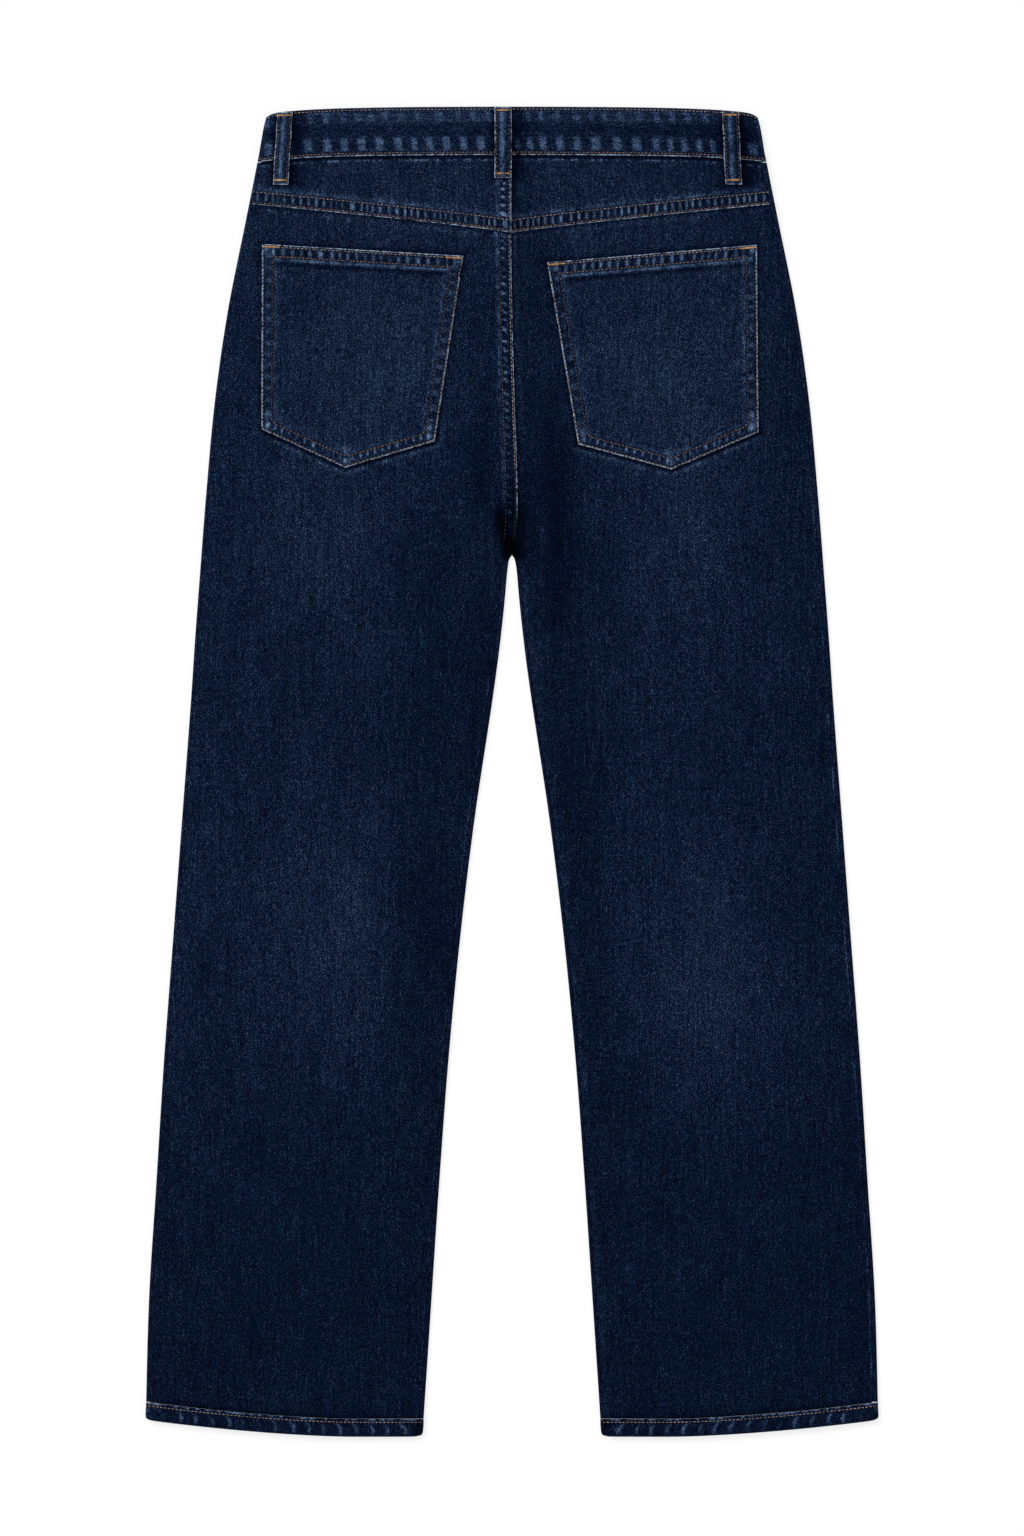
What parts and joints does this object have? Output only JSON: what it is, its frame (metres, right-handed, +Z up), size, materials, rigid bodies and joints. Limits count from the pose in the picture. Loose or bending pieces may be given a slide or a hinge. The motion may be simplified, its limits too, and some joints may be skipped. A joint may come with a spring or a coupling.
{
  "type": "oversized jeans, laid flat",
  "caption": "Oversized straight-leg jeans lying flat, back side up: yoke, patch pockets, belt loops, waistband and turned hems.",
  "frame": {"origin": "on the surface the jeans lie on, under the centre of their outline", "axes": "+X across the garment towards the wearer's right side (right in the view of the back), +Y along the legs from the hems to the waist, +Z up out of the cloth, with the back of the jeans on top"},
  "size_m": [0.5864, 1.0636, 0.0114],
  "materials": {
    "denim": "dark rinsed blue twill, faded on the seat, pockets and backs of the knees, worn light along the seam edges",
    "zip_tape": "woven navy tape with a closed metal chain",
    "brass_button": "plain satin antique brass"
  },
  "bodies": {
    "root": {"back_panel_left": "denim", "back_panel_right": "denim", "back_yoke_left": "denim", "back_yoke_right": "denim", "back_pocket_left": "denim", "back_pocket_right": "denim", "front_panel_left": "denim", "front_panel_right": "denim", "front_pocket_facing_left": "denim", "front_pocket_facing_right": "denim", "waistband": "denim", "belt_loop_back_left": "denim", "belt_loop_back_centre": "denim", "belt_loop_back_right": "denim", "belt_loop_front_left": "denim", "belt_loop_front_right": "denim", "hem_left": "denim", "hem_right": "denim", "fly_zip": "zip_tape", "waist_button": "brass_button"}
  },
  "joints": []
}
